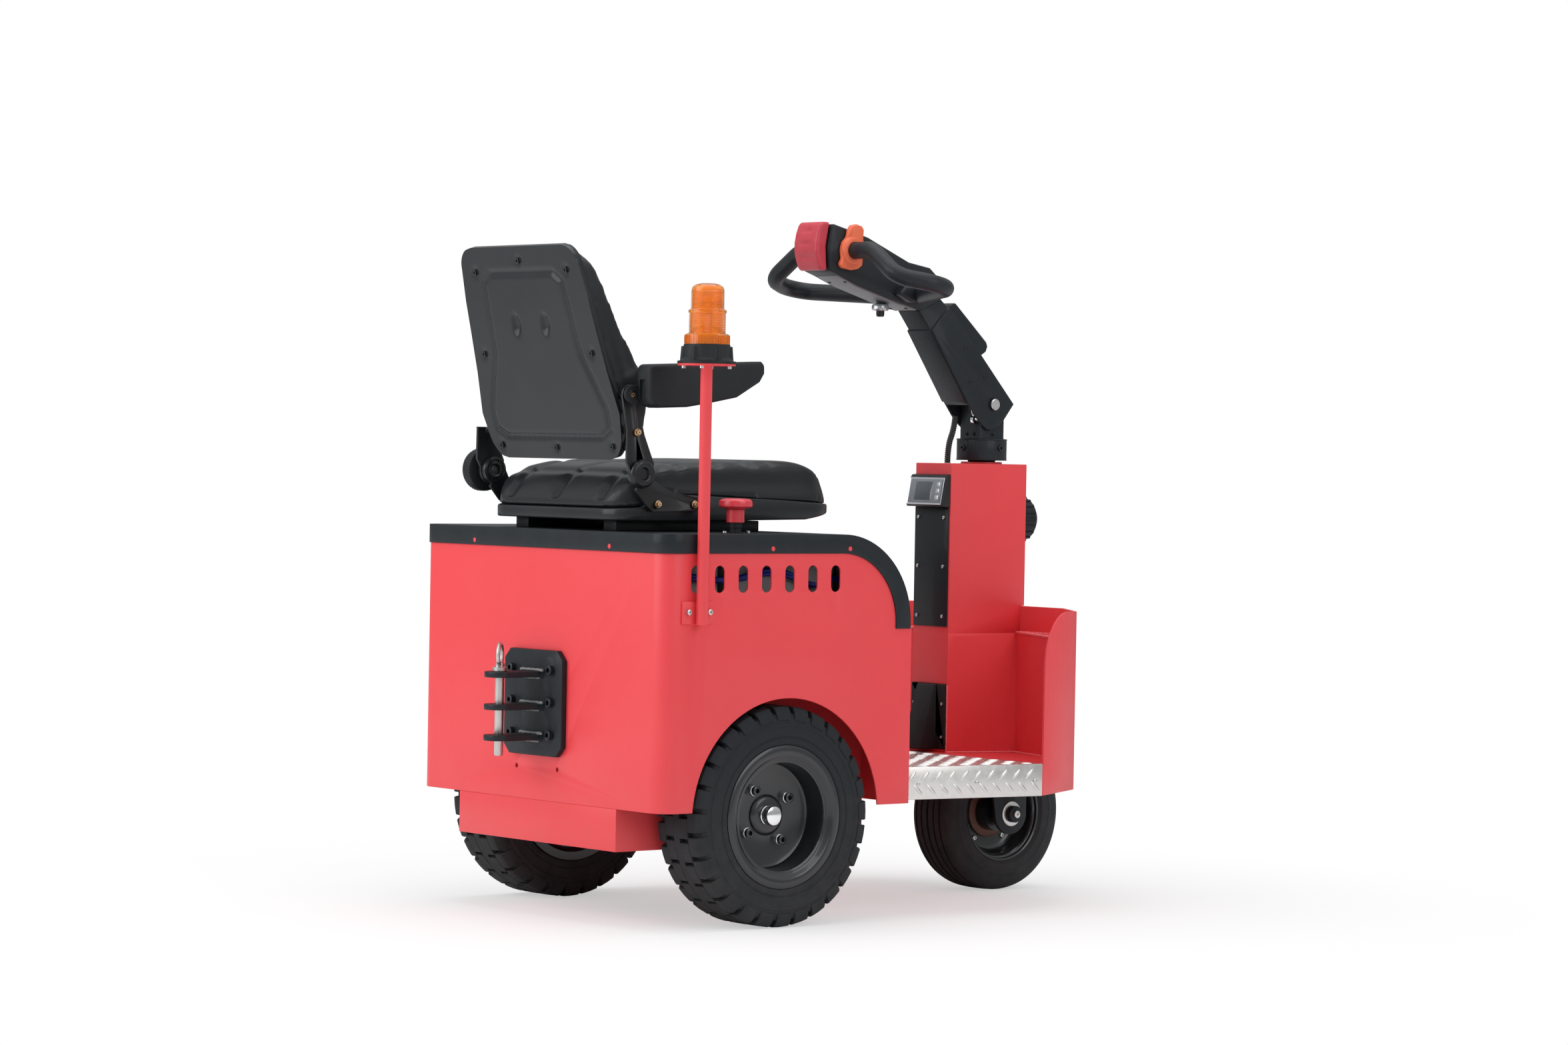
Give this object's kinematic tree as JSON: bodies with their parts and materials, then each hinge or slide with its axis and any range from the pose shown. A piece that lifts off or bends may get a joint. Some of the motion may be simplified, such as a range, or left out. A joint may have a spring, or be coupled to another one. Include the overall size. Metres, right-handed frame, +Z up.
{
  "type": "ride-on electric tow tractor",
  "caption": "Small three-wheel ride-on electric tug for towing baggage carts, with a seat, a steering tiller, a beacon and a rear pin hitch.",
  "frame": {"origin": "middle of the bounding box, on the floor under the three tyres", "axes": "+X forward, +Y to the driver's left, +Z up"},
  "size_m": [1.4147, 0.865, 1.343],
  "materials": {
    "red_paint": "satin",
    "black_paint": "satin",
    "black_plastic": "matte",
    "seat_vinyl": "satin",
    "tyre_black": "matte",
    "chrome": "polished",
    "zinc": "satin",
    "amber": "gloss",
    "orange_plastic": "satin",
    "button_red": "matte",
    "tread_metal": "satin",
    "battery_case": "matte",
    "cast_black": "matte",
    "display_grey": "satin"
  },
  "bodies": {
    "chassis": {"body_shell": "red_paint", "top_cover": "black_paint", "chassis_box": "red_paint", "battery_pack": "battery_case", "drive_unit": "cast_black", "front_frame": "red_paint", "wheel_box": "red_paint", "tread_plate": "tread_metal", "column": "red_paint", "column_panel": "black_paint", "display": "display_grey", "pedal_unit": "black_plastic", "headlight": "black_plastic", "seat_rails": "black_paint", "seat_pan": "black_plastic", "seat_cushion": "seat_vinyl", "seat_hinges": "black_paint", "stop_base": "black_plastic", "stop_knob": "button_red", "beacon_post": "red_paint", "beacon_base": "black_plastic", "beacon_lens": "amber", "hitch": "black_paint"},
    "left_rear_wheel": {"tyre_rear_left": "tyre_black", "rim_rear_left": "black_paint", "hub_cap_left": "chrome"},
    "right_rear_wheel": {"tyre_rear_right": "tyre_black", "rim_rear_right": "black_paint", "hub_cap_right": "chrome"},
    "steering": {"steering_yoke": "black_paint", "front_fork": "black_paint", "control_conduit": "black_plastic"},
    "front_wheel": {"tyre_front": "tyre_black", "rim_front": "black_paint"},
    "tiller": {"tiller_arm": "black_paint", "tiller_head": "black_plastic", "tiller_handles": "black_plastic", "belly_button": "button_red", "throttle": "orange_plastic"},
    "backrest": {"back_pan": "black_plastic", "back_cushion": "seat_vinyl", "back_brackets": "black_paint", "recliner_cover": "black_plastic"},
    "right_armrest": {"armrest_right": "black_plastic"},
    "pin": {"tow_pin": "zinc"}
  },
  "joints": [
    {"name": "rear_wheel_left_spin", "type": "hinge", "parent": "chassis", "child": "left_rear_wheel", "pos_m": [-0.30335, 0.35442, 0.2075], "axis": [0, 1, 0], "continuous": true},
    {"name": "rear_wheel_right_spin", "type": "hinge", "parent": "chassis", "child": "right_rear_wheel", "pos_m": [-0.30335, -0.30438, 0.2075], "axis": [0, 1, 0], "continuous": true},
    {"name": "steering_turn", "type": "hinge", "parent": "chassis", "child": "steering", "pos_m": [0.51965, 0.02502, 0.6], "axis": [0, 0, 1], "range_deg": [-45, 45]},
    {"name": "front_wheel_spin", "type": "hinge", "parent": "steering", "child": "front_wheel", "pos_m": [0.54875, 0.02502, 0.1586], "axis": [0, 1, 0], "continuous": true},
    {"name": "tiller_tilt", "type": "hinge", "parent": "steering", "child": "tiller", "pos_m": [0.51665, 0.02502, 0.991], "axis": [0, 1, 0], "range_deg": [-15, 35]},
    {"name": "backrest_fold", "type": "hinge", "parent": "chassis", "child": "backrest", "pos_m": [-0.53485, 0.02502, 0.843], "axis": [0, 1, 0], "range_deg": [0, 45]},
    {"name": "armrest_right_lift", "type": "hinge", "parent": "backrest", "child": "right_armrest", "pos_m": [-0.56535, -0.24098, 0.99], "axis": [0, 1, 0], "range_deg": [-80, 0]},
    {"name": "tow_pin_lift", "type": "slide", "parent": "chassis", "child": "pin", "axis": [0, 0, 1], "range_m": [0, 0.17]}
  ]
}
